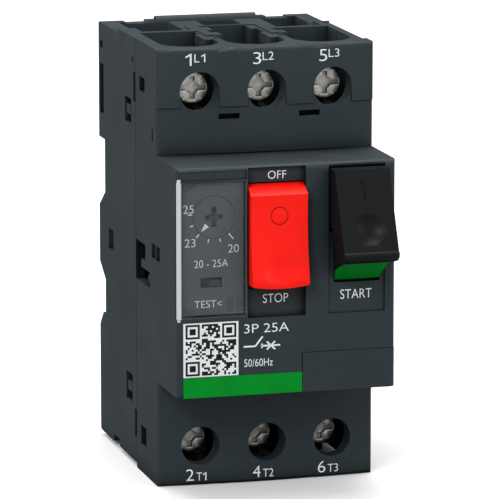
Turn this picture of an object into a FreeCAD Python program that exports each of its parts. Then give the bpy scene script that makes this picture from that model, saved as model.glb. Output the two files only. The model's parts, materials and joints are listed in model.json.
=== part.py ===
"""Three-pole motor protection breaker, 45 mm wide, for a 35 mm rail.

Frame: X to the right, -Y out of the front, +Z up, in millimetres. The origin is the centre of
the boss on the rear face that fills the hollow of the rail, so the rear plane is y = 0.
Every size is a cell of the sheet "Dimensions" or a formula of those cells.
"""
import FreeCAD
import Part

import os
import re

import Sketcher

Vector = FreeCAD.Vector
Rotation = FreeCAD.Rotation
Placement = FreeCAD.Placement

DOC = FreeCAD.newDocument("MotorProtectionBreaker")

DIMENSIONS = {
    # outside of the case
    "width": 45.0,
    "case_top": 44.5,
    "case_bottom": -44.5,
    "rear_bottom": -43.5,
    "ear_top": 43.75,
    "side_step": 0.45,
    "split_depth": 31.5,
    "shoulder_depth": 48.9,
    "shoulder_bow": 1.2,
    "nose_depth": 64.5,
    "nose_top": 23.1,
    "nose_bottom": -22.9,
    "panel_thick": 2.2,
    "band_top": 31.4,
    "band_step": 0.4,
    "wall": 1.8,
    "partition": 1.4,
    "edge_round": 0.8,
    "nose_round": 1.3,
    # rail side
    "rail_recess": 5.0,
    "rail_top": 19.5,
    "rail_bottom": -17.6,
    "boss_top": 5.0,
    "boss_bottom": -7.0,
    "boss_root_top": 8.4,
    "boss_root_bottom": -10.2,
    "hook_chamfer": 3.0,
    "clip_foot": -43.3,
    "clip_post_z": -37.7,
    "clip_window_top": -24.0,
    # poles and terminals
    "pole_pitch": 13.8,
    "cell_half_height": 27.5,
    "well_floor": 29.3,
    "well_half_width": 6.1,
    "well_back": 25.0,
    "well_front": 46.3,
    "catch_front": 36.4,
    "catch_floor": 42.4,
    "catch_half_width": 1.5,
    "line_screw_z": 35.8,
    "load_screw_z": -36.3,
    "line_hole_radius": 4.05,
    "load_hole_radius": 3.95,
    "line_head_depth": 43.6,
    "load_head_depth": 40.8,
    "screw_head_radius": 3.1,
    "screw_head_height": 2.4,
    "screw_collar_radius": 2.7,
    "screw_shank_radius": 1.9,
    "screw_tip_depth": 27.5,
    "clamp_front": 36.6,
    "clamp_thick": 1.8,
    "tongue_front": 30.6,
    "strip_thick": 1.2,
    "strip_half_width": 3.6,
    # contacts
    "fixed_tip_depth": 14.2,
    "contact_gap": 3.05,
    "upper_tip_z": 20.0,
    "lower_tip_z": 8.0,
    "tip_radius": 1.9,
    "bridge_thick": 1.1,
    "bridge_half_width": 2.0,
    "carrier_plate_depth": 34.6,
    "carrier_plate_thick": 1.4,
    # tripping parts
    "coil_z": -12.0,
    "coil_radius": 4.3,
    "coil_wire_radius": 0.85,
    "striker_radius": 1.6,
    "striker_front": 34.6,
    "trip_axis_depth": 38.5,
    "trip_axis_z": -4.0,
    "trip_bar_radius": 1.3,
    # push buttons
    "pivot_depth": 61.0,
    "pivot_z": 18.6,
    "pivot_radius": 1.0,
    "pivot_clearance": 0.05,
    "latch_depth": 55.0,
    "latch_front": -56.8,
    "latch_z": 2.0,
    "latch_pin_radius": 0.8,
    "stop_left": -7.85,
    "stop_right": 3.75,
    "start_left": 8.8,
    "start_right": 20.0,
    # setting window
    "cover_left": -21.9,
    "cover_right": -8.25,
    "cover_bottom": -6.95,
    "cover_top": 20.35,
    "cover_thick": 1.1,
    "cover_hinge_depth": 63.95,
    "dial_x": -14.6,
    "dial_z": 13.06,
    "dial_radius": 4.2,
    "dial_face_depth": 63.25,
    "cam_radius": 2.6,
    "cam_offset": 0.6,
}

POLES = {"1": "-pole_pitch", "2": "0", "3": "pole_pitch"}
LINE_WELL_BACK = {"1": "well_back", "2": "well_back - 6.6", "3": "well_back"}


# ---------------------------------------------------------------- sheet and expressions
def make_sheet():
    """Write the driving dimensions, one alias a row."""
    sheet = DOC.addObject("Spreadsheet::Sheet", "Dimensions")
    for row, (alias, size) in enumerate(DIMENSIONS.items(), start=1):
        sheet.set(f"A{row}", alias)
        sheet.set(f"B{row}", str(size))
        sheet.setAlias(f"B{row}", alias)
    DOC.recompute()
    return sheet


SHEET = make_sheet()
ALIAS = re.compile(r"[a-z_]+[a-z]")


def expression(formula):
    """A formula of sheet names as a FreeCAD expression."""
    def linked(found):
        word = found.group(0)
        return f"Dimensions.{word}" if word in DIMENSIONS else word
    return ALIAS.sub(linked, formula)


def number(formula):
    """The present value of a formula of sheet names."""
    def cell(found):
        word = found.group(0)
        return f"({SHEET.get(word)})" if word in DIMENSIONS else word
    return float(FreeCAD.Units.Quantity(ALIAS.sub(cell, formula)).Value)


def bind(item, prop, formula):
    item.setExpression(prop, expression(formula))


# ---------------------------------------------------------------- Part primitives
def block(name, x, y, z):
    """A box between two corners; each pair holds the low and the high formula."""
    box = DOC.addObject("Part::Box", name)
    for size, (low, high) in zip(("Length", "Width", "Height"), (x, y, z)):
        bind(box, size, f"({high}) - ({low})")
    for axis, (low, _) in zip("xyz", (x, y, z)):
        bind(box, f"Placement.Base.{axis}", low)
    return box


TURNS = {
    "x": Rotation(Vector(0, 1, 0), 90),
    "y": Rotation(Vector(1, 0, 0), -90),
    "z": Rotation(),
}


def rod(name, along, radius, start, end, centre):
    """A cylinder along one axis; centre gives the other two coordinates in X, Y, Z order."""
    cylinder = DOC.addObject("Part::Cylinder", name)
    cylinder.Placement = Placement(Vector(), TURNS[along])
    bind(cylinder, "Radius", radius)
    bind(cylinder, "Height", f"({end}) - ({start})")
    bind(cylinder, f"Placement.Base.{along}", start)
    for axis, formula in zip("xyz".replace(along, ""), centre):
        bind(cylinder, f"Placement.Base.{axis}", formula)
    return cylinder


def ball(name, radius, centre):
    sphere = DOC.addObject("Part::Sphere", name)
    bind(sphere, "Radius", radius)
    for axis, formula in zip("xyz", centre):
        bind(sphere, f"Placement.Base.{axis}", formula)
    return sphere


def common(name, items):
    shared = DOC.addObject("Part::MultiCommon", name)
    shared.Shapes = items
    shared.Refine = True
    return shared


def fuse(name, items):
    joined = DOC.addObject("Part::MultiFuse", name)
    joined.Shapes = items
    joined.Refine = True
    return joined


def cut(name, base, tools):
    tool = tools[0] if len(tools) == 1 else fuse(f"{name}_tools", tools)
    result = DOC.addObject("Part::Cut", name)
    result.Base = base
    result.Tool = tool
    result.Refine = True
    return result


def group(name, items):
    """Separate solids that share one node."""
    compound = DOC.addObject("Part::Compound", name)
    compound.Links = items
    return compound


# ---------------------------------------------------------------- sketches and bodies
def new_body(name):
    return DOC.addObject("PartDesign::Body", name)


def origin_plane(body, role):
    return next(item for item in body.Origin.OriginFeatures if item.Role == role)


def new_sketch(body, name, role, offset="0"):
    """A sketch on one of its own body's origin planes, moved along the plane's normal."""
    sketch = body.newObject("Sketcher::SketchObject", name)
    sketch.AttachmentSupport = (origin_plane(body, role), [""])
    sketch.MapMode = "FlatFace"
    bind(sketch, "AttachmentOffset.Base.z", offset)
    return sketch


def hold(sketch, kind, geometry, point, formula):
    """Place one coordinate of a sketch point by a formula."""
    size = number(formula)
    if abs(size) < 1e-9:
        axis = -2 if kind == "DistanceX" else -1
        sketch.addConstraint(Sketcher.Constraint("PointOnObject", geometry, point, axis))
        return
    index = sketch.addConstraint(Sketcher.Constraint(kind, -1, 1, geometry, point, size))
    sketch.setExpression(f"Constraints[{index}]", expression(formula))


def draw_outline(sketch, points, bulges=None):
    """A closed outline through points; bulges maps a side's number to its arc's middle point."""
    bulges = bulges or {}
    corners = [Vector(number(u), number(v), 0) for u, v in points]
    sides = []
    for side, corner in enumerate(corners):
        following = corners[(side + 1) % len(corners)]
        if side in bulges:
            middle = Vector(*[number(f) for f in bulges[side]], 0)
            curve = Part.Arc(corner, middle, following)
        else:
            curve = Part.LineSegment(corner, following)
        sides.append(sketch.addGeometry(curve, False))
    ends = {}
    for side, geometry in enumerate(sides):
        ends[side] = (1, 2)
        if side in bulges:
            start = sketch.getPoint(geometry, 1)
            if start.distanceToPoint(corners[side]) > 1e-6:
                ends[side] = (2, 1)
    for side, geometry in enumerate(sides):
        after = (side + 1) % len(sides)
        link = Sketcher.Constraint("Coincident", geometry, ends[side][1], sides[after], ends[after][0])
        sketch.addConstraint(link)
        hold(sketch, "DistanceX", geometry, ends[side][0], points[side][0])
        hold(sketch, "DistanceY", geometry, ends[side][0], points[side][1])
        if side in bulges:
            hold_arc(sketch, geometry, corners, side, bulges[side])


def hold_arc(sketch, geometry, corners, side, middle):
    """Fix an arc's radius from its chord and sagitta."""
    start = corners[side]
    end = corners[(side + 1) % len(corners)]
    apex = Vector(*[number(f) for f in middle], 0)
    rise = apex.distanceToLine(start, end - start)
    chord = start.distanceToPoint(end)
    radius = (chord * chord / 4 + rise * rise) / (2 * rise)
    sketch.addConstraint(Sketcher.Constraint("Radius", geometry, radius))


def draw_rectangle(sketch, u, v):
    draw_outline(sketch, [(u[0], v[0]), (u[1], v[0]), (u[1], v[1]), (u[0], v[1])])


def draw_circle(sketch, u, v, radius):
    centre = Vector(number(u), number(v), 0)
    circle = sketch.addGeometry(Part.Circle(centre, Vector(0, 0, 1), number(radius)), False)
    hold(sketch, "DistanceX", circle, 3, u)
    hold(sketch, "DistanceY", circle, 3, v)
    index = sketch.addConstraint(Sketcher.Constraint("Radius", circle, number(radius)))
    sketch.setExpression(f"Constraints[{index}]", expression(radius))


def pad(body, sketch, length):
    feature = body.newObject("PartDesign::Pad", f"{sketch.Name}_pad")
    feature.Profile = sketch
    bind(feature, "Length", length)
    sketch.Visibility = False
    return feature


def pocket(body, sketch, length):
    """Cut from the sketch against its normal."""
    feature = body.newObject("PartDesign::Pocket", f"{sketch.Name}_pocket")
    feature.Profile = sketch
    bind(feature, "Length", length)
    sketch.Visibility = False
    return feature


def side_profile(name, points, left, right, bulges=None):
    """A body with one outline in Y and Z, padded in X."""
    body = new_body(name)
    sketch = new_sketch(body, f"{name}_outline", "YZ_Plane", left)
    draw_outline(sketch, points, bulges)
    pad(body, sketch, f"({right}) - ({left})")
    return body


def front_profile(name, points, rear, front, bulges=None):
    """A body with one outline in X and Z, padded forwards (depths count from the rear plane)."""
    body = new_body(name)
    sketch = new_sketch(body, f"{name}_outline", "XZ_Plane", rear)
    draw_outline(sketch, points, bulges)
    pad(body, sketch, f"({front}) - ({rear})")
    return body


def round_edges(body, radius, wanted):
    """Fillet the edges of a body's last feature whose two ends satisfy a test."""
    DOC.recompute()
    base = body.Tip
    names = []
    for index, edge in enumerate(base.Shape.Edges, start=1):
        ends = [vertex.Point for vertex in edge.Vertexes]
        if len(ends) == 2 and all(wanted(point) for point in ends):
            names.append(f"Edge{index}")
    fillet = body.newObject("PartDesign::Fillet", f"{body.Name}_round")
    fillet.Base = (base, names)
    bind(fillet, "Radius", radius)
    DOC.recompute()
    return fillet


def near(value, formula, slack=0.02):
    return abs(value - number(formula)) < slack


# ---------------------------------------------------------------- rear housing
def rear_shell():
    """Side profile with the rail recess, the central boss and the lower hook."""
    points = [
        ("-split_depth", "rear_bottom"),
        ("0", "rear_bottom"),
        ("0", "rail_bottom - hook_chamfer"),
        ("-hook_chamfer", "rail_bottom"),
        ("-rail_recess", "rail_bottom"),
        ("-rail_recess", "boss_root_bottom"),
        ("0", "boss_bottom"),
        ("0", "boss_top"),
        ("-rail_recess", "boss_root_top"),
        ("-rail_recess", "rail_top"),
        ("0", "rail_top"),
        ("0", "ear_top"),
        ("-13.5", "ear_top"),
        ("-14.8", "ear_top - 1.6"),
        ("-17.0", "ear_top - 1.6"),
        ("-17.6", "case_top"),
        ("-split_depth", "case_top"),
    ]
    body = side_profile("rear_shell", points, "-width / 2", "width / 2")
    round_edges(body, "edge_round", lambda p: p.y > -0.01 and abs(p.z) > 30)
    return body


def cell_limits(pole):
    """The left and right wall of one pole's cell."""
    middle_half = "(pole_pitch - partition) / 2"
    inner = "(pole_pitch + partition) / 2"
    outer = "width / 2 - wall"
    limits = {
        "1": (f"-({outer})", f"-({inner})"),
        "2": (f"-({middle_half})", middle_half),
        "3": (inner, outer),
    }
    return limits[pole]


def rear_cell(pole):
    """The chamber of one pole, open to the front, and its slots for the two terminal tongues."""
    centre = POLES[pole]
    chamber = block(
        f"cell_{pole}",
        cell_limits(pole),
        ("-split_depth - 0.1", "-rail_recess - wall"),
        ("-cell_half_height", "cell_half_height"),
    )
    tools = [chamber]
    for sign, side in (("", "top"), ("-", "foot")):
        low, high = "cell_half_height - 0.1", "well_floor + 0.1"
        span = (low, high) if side == "top" else (f"-({high})", f"-({low})")
        tools.append(block(
            f"tongue_slot_{side}_{pole}",
            (f"{centre} - strip_half_width - 0.6", f"{centre} + strip_half_width + 0.6"),
            ("-split_depth - 0.1", "-tongue_front + strip_thick + 0.4"),
            span,
        ))
    return tools


def rear_wells(pole):
    """Cable wells and the open chambers behind them, at the top and at the bottom."""
    centre = POLES[pole]
    tools = []
    for side in ("top", "foot"):
        well = ("well_floor", "case_top + 1") if side == "top" else ("case_bottom - 1", "-well_floor")
        chamber = ("34", "case_top + 2") if side == "top" else ("case_bottom - 2", "-36")
        back = LINE_WELL_BACK[pole] if side == "top" else "well_back"
        tools.append(block(
            f"rear_well_{side}_{pole}",
            (f"{centre} - well_half_width", f"{centre} + well_half_width"),
            ("-split_depth - 0.1", f"-({back})"),
            well,
        ))
        tools.append(block(
            f"rear_chamber_{side}_{pole}",
            (f"{centre} - 5.2", f"{centre} + 5.2"),
            (f"-({back}) + wall", "-3.4"),
            chamber,
        ))
    return tools


def snap_windows(side, sign):
    """Openings of a side wall: two snap windows, slots behind the split, a screw well mouth."""
    near_x = "width / 2 - wall - 0.1"
    far_x = "width / 2 + 0.1"
    span = (near_x, far_x) if sign == "" else (f"-({far_x})", f"-({near_x})")
    openings = {
        "upper_snap": ("-28", "-22.7", "26.4", "31.5"),
        "lower_snap": ("-28", "-22.7", "-31.6", "-25.8"),
        "upper_slot": ("-31.6", "-29.9", "31.4", "37.4"),
        "lower_slot": ("-31.6", "-29.9", "-38.1", "-32.4"),
        "oval_pin": ("-12.1", "-7.9", "-3.0", "1.4"),
    }
    shallow = ("width / 2 - 0.9", far_x) if sign == "" else (f"-({far_x})", "-(width / 2 - 0.9)")
    recesses = {
        "rear_slot": ("-4.3", "-1.0", "24.7", "35.2"),
        "rear_dimple": ("-3.6", "-1.4", "38.5", "40.0"),
        "split_dimple": ("-30.0", "-28.6", "39.3", "40.3"),
    }
    tools = []
    for name, (rear, front, low, high) in openings.items():
        tools.append(block(f"{name}_{side}", span, (rear, front), (low, high)))
    for name, (rear, front, low, high) in recesses.items():
        tools.append(block(f"{name}_{side}", shallow, (rear, front), (low, high)))
    return tools


def snap_bars(side, sign):
    """The catch bars that stand in the snap windows and give them their C shape."""
    span = ("width / 2 - wall", "width / 2 - 0.3")
    if sign:
        span = (f"-({span[1]})", f"-({span[0]})")
    upper = block(f"upper_catch_{side}", span, ("-26.4", "-22.6"), ("28.0", "30.0"))
    lower = block(f"lower_catch_{side}", span, ("-26.4", "-22.6"), ("-29.8", "-27.8"))
    return [upper, lower]


def right_wall_step(name, rear):
    """The top of the right wall lies a little lower than the face in front of it."""
    return block(f"{name}_wall_step", ("width / 2 - wall - 0.3", "width / 2 + 0.1"), ("-44", rear),
                 ("case_top - side_step", "case_top + 1"))


def rear_top_trim():
    """Top of the rear wall: a round-backed lifting bar with a step at each end."""
    bar = rod("top_bar", "x", "1.5", "-10.8", "10.8", ("-1.75", "ear_top - 0.65"))
    steps = block("top_steps", ("-12.9", "12.9"), ("-2.9", "-0.4"), ("ear_top - 3", "ear_top + 0.1"))
    return [bar, steps]


PARTITIONS = {"left": "-pole_pitch / 2", "right": "pole_pitch / 2"}


def pole_ribs():
    """Ribs between the cable wells; each ends in a fork whose long prong catches the front housing."""
    crown = "case_top - 0.2"
    steps = {
        "root": ("-2.9", "2.9", "-23.3", "-9.0", "37"),
        "neck": ("-1.5", "1.5", "-30.4", "-23.2", "41.5"),
        "long_prong": ("-catch_half_width - 0.9", "catch_half_width - 1.1", "-catch_front", "-28.6",
                       "catch_floor"),
        "fork": ("-1.4", "2.9", "-28.4", "-26.4", "catch_floor"),
        "short_prong": ("1.6", "2.9", "-30.4", "-28.3", "catch_floor"),
    }
    return [
        block(f"rib_{step}_{side}", (f"{centre} + ({left})", f"{centre} + ({right})"), (front, rear),
              (floor, crown))
        for side, centre in PARTITIONS.items()
        for step, (left, right, front, rear, floor) in steps.items()
    ]


def catch_notches():
    """The notches in the front housing's partitions that the long prongs drop into."""
    return [
        block(f"catch_notch_{side}", (f"{centre} - catch_half_width - 1", f"{centre} + catch_half_width - 1"),
              ("-catch_front - 0.1", "-split_depth + 0.1"), ("catch_floor - 0.1", "case_top + 1"))
        for side, centre in PARTITIONS.items()
    ]


def contact_rests(pole):
    """Ribs on the chamber floor that carry the fixed contacts and the magnet."""
    centre = POLES[pole]
    span = (f"{centre} - 1.5", f"{centre} + 1.5")
    depth = ("-fixed_tip_depth + 1.2 + strip_thick", "-rail_recess - wall + 0.2")
    rests = []
    for name, (low, high) in {
        "upper": ("upper_tip_z - 2", "upper_tip_z + 4"),
        "lower": ("lower_tip_z - 4", "lower_tip_z + 2"),
        "magnet": ("coil_z - 4", "coil_z + 4"),
    }.items():
        rear = depth if name != "magnet" else ("-10.8", depth[1])
        rests.append(block(f"rest_{name}_{pole}", span, rear, (low, high)))
    return rests


def rear_housing():
    tools = [tool for pole in POLES for tool in rear_cell(pole) + rear_wells(pole)]
    for side, sign in (("left", "-"), ("right", "")):
        tools += snap_windows(side, sign)
    tools.append(block("ear_gap", ("-17.6", "17.6"), ("-16.6", "-3.4"), ("ear_top - 2.4", "case_top + 1")))
    tools.append(block("rear_wall_dip", ("-17.4", "17.4"), ("-3.5", "0.1"),
                       ("ear_top - 0.4", "case_top + 2")))
    tools.append(block("foot_notch_left", ("-width / 2 - 0.1", "-width / 2 + wall + 0.1"),
                       ("-16.7", "-11.7"), ("rear_bottom - 0.1", "-42")))
    tools += clip_channel()
    tools.append(right_wall_step("rear", "-17.6"))
    hollow = cut("rear_hollow", rear_shell(), tools)
    extras = rear_top_trim() + pole_ribs() + [rail_lip(), clip_post()]
    for side, sign in (("left", "-"), ("right", "")):
        extras += snap_bars(side, sign)
    for pole in POLES:
        extras += contact_rests(pole)
    return fuse("rear_housing", [hollow] + extras)


def rail_lip():
    """The fixed lip that catches behind the rail's upper flange."""
    points = [
        ("-3.7", "rail_top - 1.4"),
        ("-1.8", "rail_top - 1.4"),
        ("-0.6", "rail_top"),
        ("-0.6", "rail_top + 0.3"),
        ("-3.7", "rail_top + 0.3"),
    ]
    return side_profile("rail_lip", points, "-14", "14")


def clip_channel():
    """The channel of the rail clip, open to the rear, the foot and the recess."""
    channel = block("clip_channel", ("-6.2", "6.2"), ("-4.6", "0.1"),
                    ("rear_bottom - 0.1", "rail_bottom + 0.1"))
    rebate = block("clip_rebate", ("-8.2", "8.2"), ("-3.4", "-1.4"), ("rear_bottom - 0.1", "rail_bottom - 4"))
    return [channel, rebate]


def clip_post():
    """The post in the channel that the clip's spring bears on."""
    return block("clip_post", ("-1.6", "1.6"), ("-4.7", "-1.9"), ("clip_post_z - 0.9", "clip_post_z"))


# ---------------------------------------------------------------- front housing
def plan_outline(depth):
    """The plan of the front shell, with its bowed face, at a given shoulder depth."""
    points = [
        ("-width / 2", "-split_depth"),
        ("-width / 2", f"-({depth})"),
        ("width / 2", f"-({depth})"),
        ("width / 2", "-split_depth"),
    ]
    return points, {1: ("0", f"-({depth}) - shoulder_bow")}


def plan_body(name, depth, low, high):
    body = new_body(name)
    sketch = new_sketch(body, f"{name}_plan", "XY_Plane", low)
    draw_outline(sketch, *plan_outline(depth))
    pad(body, sketch, f"({high}) - ({low})")
    round_edges(body, "edge_round", lambda p: p.y < -number("shoulder_depth") + 1)
    return body


def terminal_face(name, low, high, screw_z, channel_end):
    """A raised terminal face with a shallow channel running from each screw hole."""
    face = plan_body(f"{name}_face", "shoulder_depth", low, high)
    tools = []
    for pole, centre in POLES.items():
        tools.append(block(
            f"{name}_channel_{pole}",
            (f"{centre} - line_hole_radius", f"{centre} + line_hole_radius"),
            ("-shoulder_depth - shoulder_bow - 1", "-split_depth"),
            (channel_end, screw_z),
        ))
    tools.append(block(
        f"{name}_ledge",
        ("-width / 2 - 1", "width / 2 + 1"),
        ("-shoulder_depth - shoulder_bow - 1", "-split_depth"),
        ("band_top - 0.1", "band_top + 1.35"),
    ))
    return cut(f"{name}_pads", face, tools)


def front_wells(pole):
    """One pole's two cable wells with their round fronts, and the two screw access holes."""
    centre = POLES[pole]
    tools = []
    for side, low, high, screw, radius in (
        ("top", "well_floor", "case_top + 1", "line_screw_z", "line_hole_radius"),
        ("foot", "case_bottom - 1", "-well_floor", "load_screw_z", "load_hole_radius"),
    ):
        axis_y = "-well_front + well_half_width"
        tools.append(block(
            f"front_well_{side}_{pole}",
            (f"{centre} - well_half_width", f"{centre} + well_half_width"),
            (axis_y, "-split_depth + 0.1"),
            (low, high),
        ))
        tools.append(rod(f"well_round_{side}_{pole}", "z", "well_half_width", low, high, (centre, axis_y)))
        tools.append(rod(
            f"screw_hole_{side}_{pole}", "y", radius,
            "-shoulder_depth - shoulder_bow - 1", "-well_front + 3", (centre, screw),
        ))
    return tools


def nose_block():
    """The raised block that carries the panel."""
    body = new_body("nose_block")
    sketch = new_sketch(body, "nose_plan", "XY_Plane", "nose_bottom")
    draw_rectangle(sketch, ("-width / 2", "width / 2"), ("-nose_depth + panel_thick", "-shoulder_depth + 2"))
    pad(body, sketch, "nose_top - nose_bottom")
    return body


def front_side_windows():
    """Openings in the left wall for a side-mounted auxiliary block, and one dark slot."""
    span = ("-width / 2 - 0.1", "-width / 2 + wall + 0.1")
    openings = {
        "link_window": ("-39.2", "-31.4", "0.0", "3.4"),
        "link_stem": ("-35.8", "-31.4", "-4.85", "0.1"),
        "link_foot": ("-43.1", "-31.4", "-4.85", "-1.6"),
        "square_window_a": ("-47.4", "-44.4", "1.9", "4.9"),
        "square_window_b": ("-51.0", "-48.0", "1.9", "4.9"),
        "upper_key": ("-39.2", "-34.9", "34.4", "37.3"),
        "lower_key": ("-39.4", "-35.0", "-38.6", "-34.7"),
        "thin_slot": ("-45.8", "-44.8", "25.6", "28.1"),
    }
    tools = [block(name, span, (rear, front), (low, high))
             for name, (rear, front, low, high) in openings.items()]
    right = ("width / 2 - wall - 0.1", "width / 2 + 0.1")
    tools.append(block("right_window", right, ("-39.2", "-34.9"), ("-1.6", "3.4")))
    tools.append(block("right_upper_key", right, ("-39.2", "-34.9"), ("34.4", "37.3")))
    tools.append(block("right_lower_key", right, ("-39.4", "-35.0"), ("-38.6", "-34.7")))
    return tools


def front_hollow_tools():
    """The room for the mechanism behind the shoulders and inside the nose."""
    room = ("-width / 2 + wall", "width / 2 - wall")
    behind = block("mechanism_room", room, ("-47", "-split_depth + 0.1"),
                   ("-cell_half_height", "cell_half_height"))
    nose = block("nose_room", room, ("-nose_depth + panel_thick - 0.1", "-46.9"),
                 ("nose_bottom + wall", "nose_top - wall"))
    slots = [
        block("face_slot_left", ("-9.95", "-5.6"), ("-52", "-46.7"), ("30.15", "31.3")),
        block("face_slot_right", ("6.7", "11.1"), ("-52", "-46.7"), ("30.15", "31.3")),
    ]
    groove = block("band_groove", ("-width / 2 - 1", "width / 2 + 1"), ("-52", "-shoulder_depth + 0.1"),
                   ("nose_top", "nose_top + 0.25"))
    bearings = rod("trip_bearings", "x", "trip_bar_radius + pivot_clearance", "-21.5", "21.5",
                   ("-trip_axis_depth", "trip_axis_z"))
    return [behind, nose, groove, bearings] + slots


def front_housing():
    base = plan_body("front_base", "shoulder_depth - band_step", "case_bottom", "case_top")
    line_pads = terminal_face("line", "band_top", "case_top", "line_screw_z", "band_top - 1")
    load_face = plan_body("load_face", "shoulder_depth", "case_bottom", "nose_bottom + 1")
    outside = fuse("front_outside", [base, line_pads, load_face, nose_block()])
    tools = front_hollow_tools() + front_side_windows() + catch_notches()
    tools.append(right_wall_step("front", "-split_depth + 0.1"))
    for pole in POLES:
        tools += front_wells(pole)
    return cut("front_housing", outside, tools)


# ---------------------------------------------------------------- front panel
def front_panel():
    """The bezel: cover seat, two button pockets and the seat of the blank lid."""
    body = new_body("panel_plate")
    sketch = new_sketch(body, "panel_outline", "XZ_Plane", "nose_depth - panel_thick")
    draw_rectangle(sketch, ("-width / 2", "width / 2"), ("nose_bottom", "nose_top"))
    pad(body, sketch, "panel_thick")
    round_edges(body, "nose_round", lambda p: near(abs(p.x), "width / 2") and near(p.y, "-nose_depth"))
    rear = "-nose_depth + panel_thick + 0.1"
    front = "-nose_depth - 0.1"
    return cut("front_panel", body, window_cuts(rear, front) + button_cuts(rear, front))


def window_cuts(rear, front):
    """Seats for the hinged cover and the scale plate, with holes for the dial and the slider."""
    seat = block("cover_seat", ("-width / 2 - 0.1", "cover_right + 0.05"),
                 (front, "-cover_hinge_depth + cover_thick / 2 + 0.05"),
                 ("cover_bottom - 0.05", "cover_top + 0.05"))
    plate = block("scale_seat", ("-21.4", "-8.55"), (front, "-62.6"),
                  ("cover_bottom + 0.35", "cover_top - 0.35"))
    strip = block("strip_recess", ("-width / 2 + 0.6", "cover_right + 0.05"), (front, "-nose_depth + 0.35"),
                  ("cover_top + 0.2", "nose_top - 0.7"))
    dial = rod("dial_hole", "y", "dial_radius + 0.1", front, rear, ("dial_x", "dial_z"))
    slider = block("slider_hole", ("-17.4", "-13.0"), (front, rear), ("-1.05", "0.95"))
    pegs = rod("peg_holes", "z", "0.45", "cover_bottom - 0.7", "cover_top + 0.7",
               ("cover_left", "-cover_hinge_depth"))
    lid = block("lid_seat", ("3.2", "width / 2 + 0.1"), (front, "-nose_depth + 1.2"),
                ("nose_bottom - 0.1", "-14.95"))
    return [seat, plate, strip, dial, slider, pegs, lid]


def button_cuts(rear, front):
    """The sunk fields round both buttons and the openings that the buttons pass through."""
    stop_field = block("stop_field", ("-8.0", "3.9"), (front, "-nose_depth + 1.3"), ("-7.4", "22.7"))
    stop_mouth = block("stop_mouth", ("-8.0", "3.9"), (front, rear), ("-1.75", "19.6"))
    start_field = block("start_field", ("8.55", "20.25"), (front, "-nose_depth + 0.35"), ("-7.35", "22.85"))
    start_mouth = block("start_mouth", ("8.55", "20.25"), (front, rear), ("9.0", "22.3"))
    skirt_mouth = block("skirt_mouth", ("9.7", "19.2"), (front, rear), ("-1.2", "9.1"))
    return [stop_field, stop_mouth, start_field, start_mouth, skirt_mouth]


def blank_lid():
    """The removable lid at the foot of the panel, rounded like the panel's edge."""
    corners = [
        ("3.26", "nose_bottom"),
        ("width / 2", "nose_bottom"),
        ("width / 2", "-15.0"),
        ("3.26", "-15.0"),
    ]
    lid = front_profile("blank_lid", corners, "nose_depth - 1.2", "nose_depth + 0.2")
    round_edges(lid, "nose_round", lambda p: near(p.x, "width / 2") and near(p.y, "-nose_depth - 0.2"))
    return lid


def code_label():
    return block("code_label", ("-21.25", "-10.0"), ("-nose_depth - 0.12", "-nose_depth"), ("-18.7", "-7.8"))


def band_label():
    return block("band_label", ("-21.25", "3.15"), ("-nose_depth - 0.1", "-nose_depth"),
                 ("nose_bottom + 0.02", "-18.8"))


def scale_plate():
    """The printed plate behind the cover."""
    plate = block("scale_blank", ("-21.3", "-8.6"), ("-63.3", "-62.6"),
                  ("cover_bottom + 0.4", "cover_top - 0.4"))
    dial = rod("scale_dial_hole", "y", "dial_radius + 0.08", "-64", "-62", ("dial_x", "dial_z"))
    slider = block("scale_slot", ("-17.4", "-13.0"), ("-64", "-62"), ("-1.05", "0.95"))
    return cut("scale_plate", plate, [dial, slider])


def setting_cover():
    """The clear lid: a plate hinged on a round left edge with a peg at each end."""
    thick = "cover_thick / 2"
    plate = block("cover_plate", ("cover_left", "cover_right"),
                  (f"-cover_hinge_depth - {thick}", f"-cover_hinge_depth + {thick}"),
                  ("cover_bottom", "cover_top"))
    barrel = rod("cover_barrel", "z", thick, "cover_bottom", "cover_top",
                 ("cover_left", "-cover_hinge_depth"))
    pegs = rod("cover_pegs", "z", "0.4", "cover_bottom - 0.6", "cover_top + 0.6",
               ("cover_left", "-cover_hinge_depth"))
    lug = block("cover_thumb_lug", ("cover_right - 3.4", "cover_right"),
                ("-nose_depth - 0.45", "-cover_hinge_depth"), ("-5.9", "-5.3"))
    return fuse("setting_cover", [plate, barrel, pegs, lug])


def setting_dial():
    """The current-setting dial with its cross slot and the cam stem behind it."""
    body = new_body("dial_knob")
    face = new_sketch(body, "dial_disc", "XZ_Plane", "60.6")
    draw_circle(face, "dial_x", "dial_z", "dial_radius")
    pad(body, face, "dial_face_depth - 60.6")
    stem = new_sketch(body, "dial_stem", "XZ_Plane", "50.4")
    draw_circle(stem, "dial_x", "dial_z", "1.9")
    pad(body, stem, "10.3")
    cross = new_sketch(body, "dial_slot_tall", "XZ_Plane", "dial_face_depth")
    draw_rectangle(cross, ("dial_x - 0.5", "dial_x + 0.5"), ("dial_z - 1.95", "dial_z + 1.95"))
    pocket(body, cross, "1.0")
    across = new_sketch(body, "dial_slot_wide", "XZ_Plane", "dial_face_depth")
    draw_rectangle(across, ("dial_x - 1.75", "dial_x + 1.75"), ("dial_z - 0.45", "dial_z + 0.45"))
    pocket(body, across, "1.0")
    eye = new_sketch(body, "dial_slot_eye", "XZ_Plane", "dial_face_depth")
    draw_circle(eye, "dial_x", "dial_z", "0.9")
    pocket(body, eye, "0.8")
    cam = rod("dial_cam", "y", "cam_radius", "-52.4", "-50.4", ("dial_x + cam_offset", "dial_z"))
    return fuse("setting_dial", [body, cam])


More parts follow.
